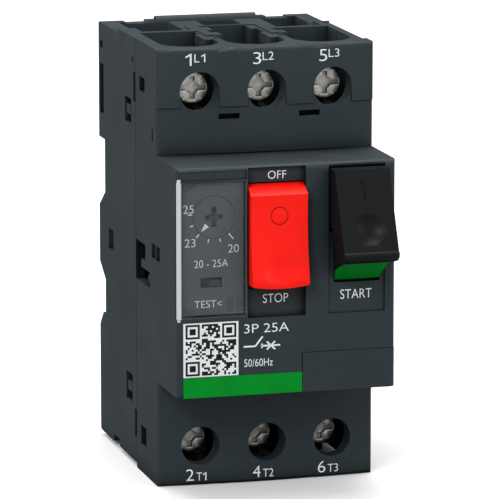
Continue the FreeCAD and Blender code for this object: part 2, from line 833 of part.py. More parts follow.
def adjusting_slide():
    """The slide that the dial's cam lifts to set the trip point."""
    plate = block("slide_plate", ("dial_x - 4.3", "dial_x + 4.0"), ("-52.2", "-50.8"), ("8.6", "17.6"))
    leg = block("slide_leg", ("dial_x + 2.0", "dial_x + 4.0"), ("-52.2", "-50.8"), ("-2.6", "8.7"))
    finger = block("slide_finger", ("dial_x + 2.0", "dial_x + 4.0"), ("-50.9", "-41.6"), ("-2.6", "-1.2"))
    window = block("slide_window", ("dial_x - 3.7", "dial_x + 3.5"), ("-53", "-50"),
                   ("dial_z - cam_radius - 0.2", "dial_z + cam_radius + 0.2"))
    return cut("adjusting_slide", fuse("slide_solid", [plate, leg, finger]), [window])


def test_slider():
    """The test slide seen in the scale plate, and its rod to the trip bar."""
    head = block("slider_head", ("-15.6", "-13.1"), ("-63.0", "-61.2"), ("-0.95", "0.45"))
    blade = block("slider_blade", ("-18.0", "-11.5"), ("-62.2", "-61.2"), ("-1.6", "1.5"))
    stem = block("slider_stem", ("-15.1", "-13.6"), ("-61.3", "-40.6"), ("-0.8", "0.7"))
    return fuse("test_slider", [head, blade, stem])


# ---------------------------------------------------------------- push buttons
def stop_button():
    """The red rocker: bevelled top, hollowed face, bowed foot, a ring mark and a shallow dish."""
    middle = "(stop_left + stop_right) / 2"
    side = [
        ("-59.0", "-1.3"),
        ("-59.0", "20.0"),
        ("-61.6", "20.0"),
        ("-62.0", "19.3"),
        ("-63.1", "19.3"),
        ("-66.4", "17.4"),
        ("-67.9", "0.2"),
        ("-67.5", "-1.3"),
    ]
    rocker = side_profile("stop_block", side, "stop_left", "stop_right", {5: ("-66.4", "9.0")})
    front = [
        ("stop_left", "20.1"),
        ("stop_left", "-0.65"),
        ("stop_right", "-0.65"),
        ("stop_right", "20.1"),
    ]
    outline = front_profile("stop_front", front, "58.9", "68.5", {1: (middle, "-1.2")})
    ring = rod("stop_ring_outer", "y", "1.85", "-67.5", "-66.1", (middle, "13.2"))
    core = rod("stop_ring_inner", "y", "1.6", "-67.6", "-66.0", (middle, "13.2"))
    dish = ball("stop_dish", "14", (middle, "-80.75", "4.6"))
    tools = [pivot_bore("stop", "stop_left", "stop_right"), cut("stop_ring", ring, [core]), dish]
    return cut("stop_button", common("stop_solid", [rocker, outline]), tools)


def pivot_bore(name, left, right):
    """The running bore of a button on the common pin."""
    return rod(f"{name}_bore", "x", "pivot_radius + pivot_clearance", f"({left}) - 1", f"({right}) + 1",
               ("-pivot_depth", "pivot_z"))


def start_button():
    """The black rocker: a long face that stands out at the foot, cheeks and an inner foot."""
    points = [
        ("-59.2", "20.9"),
        ("-62.1", "20.9"),
        ("-62.6", "21.9"),
        ("-67.8", "22.0"),
        ("-74.7", "6.6"),
        ("-74.9", "5.3"),
        ("-74.1", "4.6"),
        ("-71.2", "3.8"),
        ("-68.6", "4.6"),
        ("-66.2", "10.2"),
        ("-59.2", "10.2"),
    ]
    rocker = side_profile("start_block", points, "start_left", "start_right", {4: ("-75.2", "5.9")})
    inner = [
        ("-59.4", "4.2"),
        ("-56.2", "4.2"),
        ("-56.2", "8.4"),
        ("-59.0", "12.0"),
        ("-61.5", "12.0"),
        ("-61.5", "8.4"),
    ]
    foot = side_profile("start_inner_foot", inner, "11.8", "16.8")
    dish = ball("start_dish", "5.2", ("(start_left + start_right) / 2", "-76.5", "12.44"))
    tools = [pivot_bore("start", "start_left", "start_right"), dish]
    tools.append(start_mark("stroke", "14.0", "14.45", "16.1", "19.9"))
    tools.append(start_mark("flag", "13.45", "14.1", "19.1", "19.55"))
    return cut("start_button", fuse("start_solid", [rocker, foot]), tools)


def start_mark(name, left, right, foot, head):
    """One engraved stroke of the numeral on the black rocker's sloping face."""
    def face(height, sunk):
        return f"-67.8 - (22.0 - {height}) * 6.9 / 15.4 + {sunk}"
    groove = [
        (face(head, "-0.3"), head),
        (face(foot, "-0.3"), foot),
        (face(foot, "0.25"), foot),
        (face(head, "0.25"), head),
    ]
    return side_profile(f"start_mark_{name}", groove, left, right)


def start_skirt():
    """The green apron under the black rocker."""
    points = [
        ("-71.2", "3.75"),
        ("-63.6", "-0.9"),
        ("-61.0", "-0.9"),
        ("-61.0", "6.4"),
        ("-61.55", "6.4"),
        ("-61.55", "10.15"),
        ("-66.15", "10.15"),
        ("-68.55", "4.55"),
    ]
    return side_profile("start_skirt", points, "9.85", "19.05")


def button_pivot_pin():
    """The steel pin that both buttons turn on."""
    return rod("button_pivot_pin", "x", "pivot_radius", "-10.4", "20.65", ("-pivot_depth", "pivot_z"))


def mechanism_frame():
    """The plate that carries both pins and the return springs."""
    plate = block("frame_plate", ("-10.4", "20.6"), ("-51.4", "-50.2"), ("-18", "20.6"))
    cheeks = [
        block(f"frame_cheek_{name}", (left, right), (front, "-50.4"), (low, high))
        for name, left, right, front, low, high in (
            ("left", "-10.4", "-8.9", "-62.0", "14.2", "20.6"),
            ("middle", "5.2", "6.9", "-62.0", "14.2", "20.6"),
            ("latch_left", "-5.6", "-4.4", "latch_front", "0.2", "3.8"),
            ("latch_right", "0.6", "1.8", "latch_front", "0.2", "3.8"),
        )
    ]
    tools = [
        rod("frame_pin_hole", "x", "pivot_radius + 0.01", "-11", "8", ("-pivot_depth", "pivot_z")),
        rod("frame_latch_hole", "x", "latch_pin_radius + 0.01", "-6", "2", ("-latch_depth", "latch_z")),
        block("frame_start_window", ("11.2", "17.4"), ("-52", "-50"), ("2.4", "9.6")),
        block("frame_latch_window", ("-4.2", "0.4"), ("-52", "-50"), ("-4.0", "5.0")),
    ]
    return cut("mechanism_frame", fuse("frame_solid", [plate] + cheeks), tools)


def latch_lever():
    """The lever that the red button turns to let the contacts go."""
    axis = ("-latch_depth", "latch_z")
    hub = rod("latch_hub", "x", "latch_pin_radius + 1.1", "-3.2", "-0.6", axis)
    arm = block("latch_arm", ("-2.8", "-1.0"), ("-latch_depth - 1", "-latch_depth + 1"), ("latch_z", "12.6"))
    nose = block("latch_nose", ("-2.8", "-1.0"), ("-58.7", "-latch_depth + 1"), ("10.8", "12.6"))
    tail = block("latch_tail", ("-2.8", "-1.0"), ("-latch_depth", "-45.4"), ("latch_z - 1", "latch_z + 1"))
    hook = block("latch_hook", ("-2.8", "-1.0"), ("-47.2", "-45.4"), ("latch_z - 3.6", "latch_z + 1"))
    bore = rod("latch_bore", "x", "latch_pin_radius + pivot_clearance", "-6", "2", axis)
    return cut("latch_lever", fuse("latch_solid", [hub, arm, nose, tail, hook]), [bore])


def latch_pin():
    return rod("latch_pin", "x", "latch_pin_radius", "-5.6", "1.8", ("-latch_depth", "latch_z"))


# ---------------------------------------------------------------- springs
def coil_spring(name, radius, wire, pitch, start, end, along, centre):
    """A compression spring along one axis; centre gives the other two coordinates."""
    thick = number(wire)
    first = number(start) + thick
    turns = Part.makeHelix(number(pitch), number(end) - thick - first, number(radius))
    section = Part.Wire(Part.makeCircle(thick, Vector(number(radius), 0, 0), Vector(0, 1, 0)))
    spring = DOC.addObject("Part::Feature", name)
    spring.Shape = Part.Wire(turns).makePipeShell([section], True, True)
    place = dict(zip("xyz".replace(along, ""), (number(value) for value in centre)))
    place[along] = first
    spring.Placement = Placement(Vector(place["x"], place["y"], place["z"]), TURNS[along])
    return spring


def start_return_spring():
    return coil_spring("start_spring", "1.6", "0.25", "1.3", "-59.1", "-51.5", "y", ("18.2", "12.8"))


def stop_return_spring():
    return coil_spring("stop_spring", "1.6", "0.25", "1.3", "-58.9", "-51.5", "y", ("-6.2", "9.5"))


def contact_springs():
    springs = [
        coil_spring(f"contact_spring_{pole}", "1.4", "0.25", "1.3", "-23.9", "-19.1", "y", (centre, "14"))
        for pole, centre in POLES.items()
    ]
    return group("contact_springs", springs)


# ---------------------------------------------------------------- contacts
def contact_carrier():
    """The moulded slide that carries the three bridges, with its stem and side lug."""
    plate = block("carrier_plate", ("-20.3", "20.3"),
                  ("-carrier_plate_depth - carrier_plate_thick", "-carrier_plate_depth"), ("9.0", "19.0"))
    stem = block("carrier_stem", ("12.2", "16.4"), ("-55.8", "-carrier_plate_depth"), ("3.4", "9.2"))
    lug_web = block("carrier_web", ("-20.3", "-18.9"),
                    ("-carrier_plate_depth - carrier_plate_thick", "-carrier_plate_depth"), ("-2.3", "9.1"))
    lug = block("carrier_lug", ("-20.3", "-17.6"), ("-36.0", "-32.2"), ("-2.3", "1.7"))
    items = [plate, stem, lug_web, lug]
    tools = []
    for pole, centre in POLES.items():
        items.append(block(f"carrier_post_{pole}", (f"{centre} - 3.2", f"{centre} + 3.2"),
                           ("-carrier_plate_depth - 0.1", "-16.6"), ("11.2", "16.8")))
        tools.append(block(f"carrier_window_{pole}", (f"{centre} - 2.1", f"{centre} + 2.1"),
                           ("-24.0", "-17.8"), ("11.0", "17.0")))
    return cut("contact_carrier", fuse("carrier_solid", items), tools)


def moving_bridge(pole):
    """A copper bridge with a silver tip at each end."""
    centre = POLES[pole]
    face = "-fixed_tip_depth - contact_gap"
    rear = f"{face} - 0.65"
    bar = block(f"bridge_bar_{pole}", (f"{centre} - bridge_half_width", f"{centre} + bridge_half_width"),
                (f"{rear} - bridge_thick", rear), ("lower_tip_z - 2.4", "upper_tip_z + 2.4"))
    tips = [
        rod(f"bridge_tip_{name}_{pole}", "y", "tip_radius", f"{rear} - 0.1", face, (centre, height))
        for name, height in (("upper", "upper_tip_z"), ("lower", "lower_tip_z"))
    ]
    return fuse(f"moving_bridge_{pole}", [bar] + tips)


def line_contact(pole):
    """The upper fixed contact: terminal tongue, crank and tip."""
    centre = POLES[pole]
    back = "-fixed_tip_depth + 1.2"
    points = [
        ("-tongue_front", "41"),
        ("-tongue_front", "24.6"),
        (back, "24.6"),
        (back, "upper_tip_z - 2.4"),
        (f"{back} + strip_thick", "upper_tip_z - 2.4"),
        (f"{back} + strip_thick", "24.6 + strip_thick"),
        ("-tongue_front + strip_thick", "24.6 + strip_thick"),
        ("-tongue_front + strip_thick", "41"),
    ]
    strip = side_profile(f"line_strip_{pole}", points, f"{centre} - strip_half_width",
                         f"{centre} + strip_half_width")
    tip = rod(f"line_tip_{pole}", "y", "tip_radius", "-fixed_tip_depth", f"{back} + 0.1",
              (centre, "upper_tip_z"))
    hole = rod(f"line_tap_{pole}", "y", "screw_shank_radius + 0.1", "-tongue_front - 1", "-tongue_front + 2",
               (centre, "line_screw_z"))
    return cut(f"line_contact_{pole}", fuse(f"line_solid_{pole}", [strip, tip]), [hole])


def load_contact(pole):
    """The lower fixed contact, bent forwards to meet the coil."""
    centre = POLES[pole]
    back = "-fixed_tip_depth + 1.2"
    points = [
        (back, "lower_tip_z + 2.4"),
        (back, "2.4 + strip_thick"),
        ("-27.6", "2.4 + strip_thick"),
        ("-27.6", "-5.6"),
        ("-27.6 + strip_thick", "-5.6"),
        ("-27.6 + strip_thick", "2.4"),
        (f"{back} + strip_thick", "2.4"),
        (f"{back} + strip_thick", "lower_tip_z + 2.4"),
    ]
    strip = side_profile(f"load_strip_{pole}", points, f"{centre} - strip_half_width",
                         f"{centre} + strip_half_width")
    tip = rod(f"load_tip_{pole}", "y", "tip_radius", "-fixed_tip_depth", f"{back} + 0.1",
              (centre, "lower_tip_z"))
    return fuse(f"load_contact_{pole}", [strip, tip])


def load_terminal(pole):
    """The lower terminal tongue with the leg that carries the bimetal."""
    centre = POLES[pole]
    points = [
        ("-tongue_front", "-43.4"),
        ("-tongue_front + strip_thick", "-43.4"),
        ("-tongue_front + strip_thick", "-25.7"),
        ("-36.2", "-25.7"),
        ("-36.2", "-25.7 - strip_thick"),
        ("-tongue_front", "-25.7 - strip_thick"),
    ]
    strip = side_profile(f"load_tongue_{pole}", points, f"{centre} - strip_half_width",
                         f"{centre} + strip_half_width")
    hole = rod(f"load_tap_{pole}", "y", "screw_shank_radius + 0.1", "-tongue_front - 1", "-tongue_front + 2",
               (centre, "load_screw_z"))
    return cut(f"load_terminal_{pole}", strip, [hole])


def arc_chute(pole):
    """Steel plates that split the arc between the two fixed contacts."""
    centre = POLES[pole]
    plates = [
        block(f"arc_plate_{index}_{pole}", (f"{centre} - 5.0", f"{centre} + 5.0"), ("-12.8", "-7.2"),
              (f"11.2 + 1.3 * {index}", f"11.8 + 1.3 * {index}"))
        for index in range(5)
    ]
    return group(f"arc_chute_{pole}", plates)


def magnetic_coil(pole):
    """The trip coil: six turns of heavy wire on an axis along Y."""
    centre = POLES[pole]
    turns = []
    for turn in range(6):
        ring = DOC.addObject("Part::Torus", f"coil_turn_{turn}_{pole}")
        ring.Placement = Placement(Vector(), TURNS["y"])
        bind(ring, "Radius1", "coil_radius")
        bind(ring, "Radius2", "coil_wire_radius")
        bind(ring, "Placement.Base.x", centre)
        bind(ring, "Placement.Base.y", f"-24.4 + {turn} * 1.65 * coil_wire_radius")
        bind(ring, "Placement.Base.z", "coil_z")
        turns.append(ring)
    return fuse(f"magnetic_coil_{pole}", turns)


def coil_bobbin(pole):
    """The flanged tube that the coil is wound on and the plunger runs in."""
    centre = POLES[pole]
    axis = (centre, "coil_z")
    tube = rod(f"bobbin_tube_{pole}", "y", "coil_radius - coil_wire_radius - 0.05", "-26.2", "-16.1", axis)
    flange = rod(f"bobbin_flange_{pole}", "y", "coil_radius + coil_wire_radius", "-26.2", "-25.4", axis)
    bore = rod(f"bobbin_bore_{pole}", "y", "striker_radius + 0.1", "-27", "-16", axis)
    return cut(f"coil_bobbin_{pole}", fuse(f"bobbin_solid_{pole}", [tube, flange]), [bore])


def magnet_core(pole):
    """The fixed steel core and its rear plate."""
    centre = POLES[pole]
    plate = block(f"core_plate_{pole}", (f"{centre} - 5.2", f"{centre} + 5.2"), ("-12.6", "-10.8"),
                  ("coil_z - 5.2", "coil_z + 5.2"))
    pole_piece = rod(f"core_pole_{pole}", "y", "striker_radius + 1.3", "-16.0", "-12.5", (centre, "coil_z"))
    return fuse(f"magnet_core_{pole}", [plate, pole_piece])


def striker(pole):
    """The plunger that the coil throws at the trip bar."""
    centre = POLES[pole]
    stem = rod(f"striker_stem_{pole}", "y", "striker_radius", "-striker_front + 1", "-16.6",
               (centre, "coil_z"))
    head = rod(f"striker_head_{pole}", "y", "striker_radius + 0.8", "-striker_front", "-striker_front + 1.2",
               (centre, "coil_z"))
    return fuse(f"striker_{pole}", [stem, head])


def bimetal(pole):
    """The bimetal strip with its heater wound round it."""
    centre = POLES[pole]
    strip = block(f"bimetal_strip_{pole}", (f"{centre} - 2.0", f"{centre} + 2.0"), ("-35.6", "-34.9"),
                  ("-25.7", "-15.4"))
    heater = [
        block(f"heater_turn_{turn}_{pole}", (f"{centre} - 2.5", f"{centre} + 2.5"), ("-36.0", "-34.5"),
              (f"-24.4 + 1.2 * {turn}", f"-23.7 + 1.2 * {turn}"))
        for turn in range(5)
    ]
    return fuse(f"bimetal_{pole}", [strip] + heater)


def trip_bar():
    """The bar across the poles with one paddle a pole and the test arm."""
    axle = rod("trip_axle", "x", "trip_bar_radius", "-21.4", "21.4", ("-trip_axis_depth", "trip_axis_z"))
    paddles = [
        block(f"trip_paddle_{pole}", (f"{centre} - 2.8", f"{centre} + 2.8"),
              ("-trip_axis_depth - 0.5", "-trip_axis_depth + 0.9"), ("-22.5", "trip_axis_z"))
        for pole, centre in POLES.items()
    ]
    arm = block("trip_arm", ("-19.2", "-17.4"), ("-trip_axis_depth - 2.6", "-trip_axis_depth + 0.9"),
                ("trip_axis_z", "1.4"))
    return fuse("trip_bar", [axle, arm] + paddles)


# ---------------------------------------------------------------- terminals
def terminal_screw(name, pole, head_depth, height):
    """One clamp screw: a cheese head with a cross and slot recess, and a collar down to its plate."""
    centre = POLES[pole]
    body = new_body(f"{name}_body_{pole}")
    head = new_sketch(body, f"{name}_head_{pole}", "XZ_Plane", f"{head_depth} - screw_head_height")
    draw_circle(head, centre, height, "screw_head_radius")
    pad(body, head, "screw_head_height")
    collar = new_sketch(body, f"{name}_collar_{pole}", "XZ_Plane", "clamp_front + 0.05")
    draw_circle(collar, centre, height, "screw_collar_radius")
    pad(body, collar, f"{head_depth} - screw_head_height - clamp_front")
    shank = new_sketch(body, f"{name}_shank_{pole}", "XZ_Plane", "screw_tip_depth")
    draw_circle(shank, centre, height, "screw_shank_radius")
    pad(body, shank, f"{head_depth} - screw_tip_depth - screw_head_height + 0.1")
    for mark, (half_x, half_z) in {"slot": ("2.9", "0.55"), "cross": ("0.55", "2.3")}.items():
        recess = new_sketch(body, f"{name}_{mark}_{pole}", "XZ_Plane", head_depth)
        draw_rectangle(recess, (f"{centre} - {half_x}", f"{centre} + {half_x}"),
                       (f"{height} - {half_z}", f"{height} + {half_z}"))
        pocket(body, recess, "1.3")
    eye = new_sketch(body, f"{name}_eye_{pole}", "XZ_Plane", head_depth)
    draw_circle(eye, centre, height, "1.35")
    pocket(body, eye, "1.3")
    return body


def terminal_screws(name, head_depth, height):
    return group(name, [terminal_screw(name, pole, head_depth, height) for pole in POLES])


def terminal_clamps(name, height):
    """Square pressure plates under the screws."""
    plates = []
    for pole, centre in POLES.items():
        plate = block(f"{name}_plate_{pole}", (f"{centre} - 4.6", f"{centre} + 4.6"),
                      ("-clamp_front", "-clamp_front + clamp_thick"), (f"{height} - 4.4", f"{height} + 4.4"))
        hole = rod(f"{name}_hole_{pole}", "y", "screw_shank_radius + 0.15", "-clamp_front - 1",
                   "-clamp_front + 3", (centre, height))
        plates.append(cut(f"{name}_{pole}", plate, [hole]))
    return group(name, plates)


# ---------------------------------------------------------------- rail clip
def rail_clip():
    """The sliding clip that catches behind the rail's lower flange."""
    points = [
        ("-3.3", "clip_foot"),
        ("-1.5", "clip_foot"),
        ("-1.5", "-20.2"),
        ("-0.9", "-19.4"),
        ("-3.3", "-16.2"),
    ]
    tongue = side_profile("clip_tongue", points, "-6.0", "6.0")
    wings = block("clip_wings", ("-8.0", "8.0"), ("-3.3", "-1.5"), ("clip_foot", "-30.0"))
    tools = [
        block("clip_pull_slot", ("-2.2", "2.2"), ("-4", "0"), ("clip_foot + 1.4", "clip_foot + 2.6")),
        block("clip_window", ("-2.4", "2.4"), ("-4", "0"), ("clip_post_z - 1.1", "clip_window_top")),
    ]
    return cut("rail_clip", fuse("clip_solid", [tongue, wings]), tools)


def rail_clip_spring():
    """The spring in the clip's window, between the post and the window's upper edge."""
    return coil_spring("clip_spring", "1.1", "0.2", "1.05", "clip_post_z + 0.1", "clip_window_top - 0.1",
                       "z", ("0", "-3.0"))


# ---------------------------------------------------------------- assembly and export
def build_nodes():
    nodes = {
        "rear_housing": rear_housing(),
        "front_housing": front_housing(),
        "front_panel": front_panel(),
        "blank_lid": blank_lid(),
        "code_label": code_label(),
        "band_label": band_label(),
        "scale_plate": scale_plate(),
        "setting_cover": setting_cover(),
        "setting_dial": setting_dial(),
        "adjusting_slide": adjusting_slide(),
        "test_slider": test_slider(),
        "stop_button": stop_button(),
        "start_button": start_button(),
        "start_skirt": start_skirt(),
        "button_pivot_pin": button_pivot_pin(),
        "mechanism_frame": mechanism_frame(),
        "latch_lever": latch_lever(),
        "latch_pin": latch_pin(),
        "start_return_spring": start_return_spring(),
        "stop_return_spring": stop_return_spring(),
        "contact_carrier": contact_carrier(),
        "contact_springs": contact_springs(),
        "trip_bar": trip_bar(),
        "line_terminal_screws": terminal_screws("line_screw", "line_head_depth", "line_screw_z"),
        "load_terminal_screws": terminal_screws("load_screw", "load_head_depth", "load_screw_z"),
        "line_clamps": terminal_clamps("line_clamp", "line_screw_z"),
        "load_clamps": terminal_clamps("load_clamp", "load_screw_z"),
        "rail_clip": rail_clip(),
        "rail_clip_spring": rail_clip_spring(),
    }
    makers = {
        "moving_bridge": moving_bridge,
        "line_contact": line_contact,
        "load_contact": load_contact,
        "load_terminal": load_terminal,
        "arc_chute": arc_chute,
        "magnetic_coil": magnetic_coil,
        "coil_bobbin": coil_bobbin,
        "magnet_core": magnet_core,
        "striker": striker,
        "bimetal": bimetal,
    }
    for kind, maker in makers.items():
        for pole in POLES:
            nodes[f"{kind}_{pole}"] = maker(pole)
    for name, item in nodes.items():
        item.Label = name
    return nodes


def check_document(nodes):
    """Stop on any object that did not recompute, and on any null or invalid sub-part."""
    for item in DOC.Objects:
        if "Invalid" in item.State or "Error" in item.State:
            raise RuntimeError(f"{item.Label} did not recompute: {item.State}")
    for name, item in nodes.items():
        shape = item.Shape
        if shape.isNull() or not shape.isValid() or not shape.Solids:
            raise RuntimeError(f"{name} has no valid solid")


def export_nodes(nodes):
    os.makedirs("parts", exist_ok=True)
    for name, item in nodes.items():
        item.Shape.exportStep(f"parts/{name}.step")
        print(f"{name}: {len(item.Shape.Solids)} solid(s), {item.Shape.Volume:.1f} mm3")


NODES = build_nodes()
DOC.recompute()
check_document(NODES)
export_nodes(NODES)
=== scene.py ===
"""Looks for a three-pole motor protection breaker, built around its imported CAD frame.

Everything is in metres in the CAD frame: X right, -Y out of the front, +Z up.
"""
import json
import math
import random

import bmesh
import bpy
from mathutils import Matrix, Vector
from mathutils.bvhtree import BVHTree


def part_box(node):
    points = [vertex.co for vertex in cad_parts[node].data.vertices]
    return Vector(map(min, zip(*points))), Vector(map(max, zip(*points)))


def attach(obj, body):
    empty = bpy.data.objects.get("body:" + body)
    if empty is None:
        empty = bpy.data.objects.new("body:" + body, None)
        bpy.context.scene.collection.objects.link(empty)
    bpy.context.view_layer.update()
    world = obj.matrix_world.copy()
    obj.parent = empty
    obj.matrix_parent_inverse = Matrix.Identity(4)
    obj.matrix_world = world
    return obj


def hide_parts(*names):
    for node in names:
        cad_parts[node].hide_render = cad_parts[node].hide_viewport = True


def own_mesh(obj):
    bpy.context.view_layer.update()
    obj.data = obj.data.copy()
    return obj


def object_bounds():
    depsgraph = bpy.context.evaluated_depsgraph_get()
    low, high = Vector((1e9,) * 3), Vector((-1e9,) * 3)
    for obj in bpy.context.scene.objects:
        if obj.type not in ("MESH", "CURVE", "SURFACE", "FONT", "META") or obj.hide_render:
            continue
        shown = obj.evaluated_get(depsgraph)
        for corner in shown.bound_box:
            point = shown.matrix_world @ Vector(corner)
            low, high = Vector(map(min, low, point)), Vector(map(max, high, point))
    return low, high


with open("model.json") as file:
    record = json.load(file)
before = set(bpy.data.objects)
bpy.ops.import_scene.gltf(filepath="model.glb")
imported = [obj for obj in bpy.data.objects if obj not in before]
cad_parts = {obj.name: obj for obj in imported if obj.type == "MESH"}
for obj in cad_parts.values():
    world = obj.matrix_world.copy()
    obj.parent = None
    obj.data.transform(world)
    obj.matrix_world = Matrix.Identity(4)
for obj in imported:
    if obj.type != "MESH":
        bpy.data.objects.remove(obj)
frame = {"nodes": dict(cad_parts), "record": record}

MM = 0.001
CAD_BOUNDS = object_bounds()
NODES = frame["nodes"]

# Ink and pads are thin slabs: how far they sink into a surface, and how far they stand out of it.
INK_LOW = -0.02 * MM
INK_HIGH = 0.03 * MM
# A point well in front of the object, where rays towards its surface start.
RAY_START_Y = -0.2
# Direction of the dial's pointer at rest, in degrees anticlockwise from +X.
POINTER_ANGLE = -132.6


# ---------------------------------------------------------------- shader graph helpers
def display(red, green, blue):
    """Linear colour of an 8-bit display colour."""
    def linear(value):
        value /= 255
        return value / 12.92 if value <= 0.04045 else ((value + 0.055) / 1.055) ** 2.4
    return (linear(red), linear(green), linear(blue), 1.0)


def shade(colour, factor):
    """The colour made darker or lighter, with full opacity."""
    return tuple(min(1.0, part * factor) for part in colour[:3]) + (1.0,)


class Graph:
    """A material under construction, with its textures laid out in object space."""

    def __init__(self, name):
        self.material = bpy.data.materials.new(name)
        self.material.use_nodes = True
        self.tree = self.material.node_tree
        self.tree.nodes.clear()
        self.end = self.tree.nodes.new("ShaderNodeOutputMaterial")
        self.place = self.node("ShaderNodeTexCoord").outputs["Object"]

    def node(self, kind, inputs=None, **settings):
        made = self.tree.nodes.new(kind)
        for key, value in settings.items():
            setattr(made, key, value)
        for key, value in (inputs or {}).items():
            self.feed(made.inputs[key], value)
        return made

    def feed(self, socket, value):
        if isinstance(value, bpy.types.NodeSocket):
            self.tree.links.new(value, socket)
        else:
            socket.default_value = value

    def noise(self, size, detail=2.0, stretch=None):
        """Noise whose features are about size metres across, drawn out along an axis if asked."""
        where = self.place
        if stretch:
            where = self.node("ShaderNodeMapping", {"Vector": where, "Scale": stretch}).outputs["Vector"]
        made = self.node("ShaderNodeTexNoise", {"Vector": where, "Scale": 1 / size, "Detail": detail})
        return made.outputs["Fac"]

    def span(self, value, low, high, start=0.0, end=1.0):
        """Maps value from start..end to low..high, held at the ends."""
        made = self.node("ShaderNodeMapRange", {
            "Value": value, "From Min": start, "From Max": end, "To Min": low, "To Max": high})
        return made.outputs["Result"]

    def maths(self, operation, first, second):
        made = self.node("ShaderNodeMath", operation=operation)
        self.feed(made.inputs[0], first)
        self.feed(made.inputs[1], second)
        return made.outputs["Value"]

    def mix(self, share, first, second):
        made = self.node("ShaderNodeMix", data_type="RGBA")
        self.feed(made.inputs["Factor"], share)
        self.feed(made.inputs["A"], first)
        self.feed(made.inputs["B"], second)
        return made.outputs["Result"]

    def axis(self, letter):
        return self.node("ShaderNodeSeparateXYZ", {"Vector": self.place}).outputs[letter]

    def edges(self, radius):
        """About 1 on convex and concave edges, 0 on flats."""
        soft = self.node("ShaderNodeBevel", {"Radius": radius}, samples=4).outputs["Normal"]
        flat = self.node("ShaderNodeNewGeometry").outputs["Normal"]
        match = self.node("ShaderNodeVectorMath", {0: soft, 1: flat}, operation="DOT_PRODUCT")
        return self.span(match.outputs["Value"], 1.0, 0.0, 0.86, 0.995)

    def bump(self, height, strength, depth):
        made = self.node("ShaderNodeBump", {"Height": height, "Strength": strength, "Distance": depth})
        return made.outputs["Normal"]

    def surface(self, inputs):
        made = self.node("ShaderNodeBsdfPrincipled", inputs)
        return made.outputs["BSDF"]

    def blend(self, share, first, second):
        made = self.node("ShaderNodeMixShader", {"Fac": share})
        self.feed(made.inputs[1], first)
        self.feed(made.inputs[2], second)
        return made.outputs["Shader"]

    def matt(self, tint, gloss, normal, sheen, ceiling):
        """A textured plastic: its reflection grows less towards grazing than a smooth surface's."""
        body = self.surface({"Base Color": tint, "Specular IOR Level": 0.0, "Normal": normal})
        mirror = self.node("ShaderNodeBsdfGlossy", {
            "Color": (1, 1, 1, 1), "Roughness": gloss, "Normal": normal}).outputs["BSDF"]
        glance = self.node("ShaderNodeFresnel", {"IOR": 1.46, "Normal": normal}).outputs["Fac"]
        share = self.maths("MULTIPLY", self.maths("MINIMUM", glance, ceiling), sheen)
        return self.blend(share, body, mirror)

    def finish(self, shader):
        self.feed(self.end.inputs["Surface"], shader)
        return self.material


# ---------------------------------------------------------------- material families
def moulded(name, colour, rough=0.5, grain=0.22 * MM, spread=0.1, wear_and_highlight=1.6, sheen=0.4, relief=0.4,
            reach=1.6 * MM, shadow_line_y=None):
    """Injection-moulded plastic: grain, colour drift, edges lightened partly by wear and partly as a painted
    highlight, and painted shade in creases.

    Painted shade darkens creases and recesses within reach of other surfaces (0 leaves it out). A painted
    shadow line can be drawn along a joint at a given y.
    """
    g = Graph(name)
    drift = g.noise(14 * MM, 3.0)
    speck = g.noise(0.9 * MM, 4.0)
    fine = g.noise(grain, 2.0)
    tone = g.maths("ADD", g.maths("MULTIPLY", drift, 0.6), g.maths("MULTIPLY", speck, 0.4))
    body = g.mix(g.span(tone, 0, 1, 0.32, 0.68), shade(colour, 1 - spread), shade(colour, 1 + spread))
    # Edges lighten towards a brighter copy of the colour: partly wear, partly a painted highlight.
    rubbed_and_lit = g.maths("MULTIPLY", g.edges(0.28 * MM), g.span(g.noise(2.4 * MM, 3.0), 0.25, 1.0, 0.4, 0.62))
    worn_and_lit = g.mix(g.maths("MULTIPLY", rubbed_and_lit, 0.75), body, shade(colour, wear_and_highlight))
    # Share of painted shade and painted shadow line, towards a dark copy of the colour.
    painted_shade = 0.0
    # Painted shade: creases and recesses within reach of other surfaces darken towards a dark copy of the
    # colour.
    if reach:
        open_air = g.node("ShaderNodeAmbientOcclusion", {"Distance": reach}, samples=8).outputs["AO"]
        corner = g.node("ShaderNodeAmbientOcclusion", {"Distance": 0.7 * MM}, samples=8).outputs["AO"]
        wide_dark = g.span(open_air, 0.97, 0.0, 0.35, 0.9)
        tight_dark = g.span(corner, 0.85, 0.0, 0.5, 0.78)
        painted_shade = g.maths("MAXIMUM", wide_dark, tight_dark)
    # Painted shadow line along a joint, such as the one between the two housings.
    if shadow_line_y is not None:
        away = g.maths("ABSOLUTE", g.maths("SUBTRACT", g.axis("Y"), shadow_line_y), 0.0)
        painted_shade = g.maths("MAXIMUM", painted_shade, g.span(away, 1.0, 0.0, 0.1 * MM, 0.32 * MM))
    tint = g.mix(painted_shade, worn_and_lit, shade(colour, 0.12))
    gloss = g.maths("SUBTRACT", g.span(tone, rough - 0.07, rough + 0.09, 0.35, 0.65),
                    g.maths("MULTIPLY", rubbed_and_lit, 0.1))
    return g.finish(g.matt(tint, gloss, g.bump(fine, relief, 0.02 * MM), sheen, 0.09))


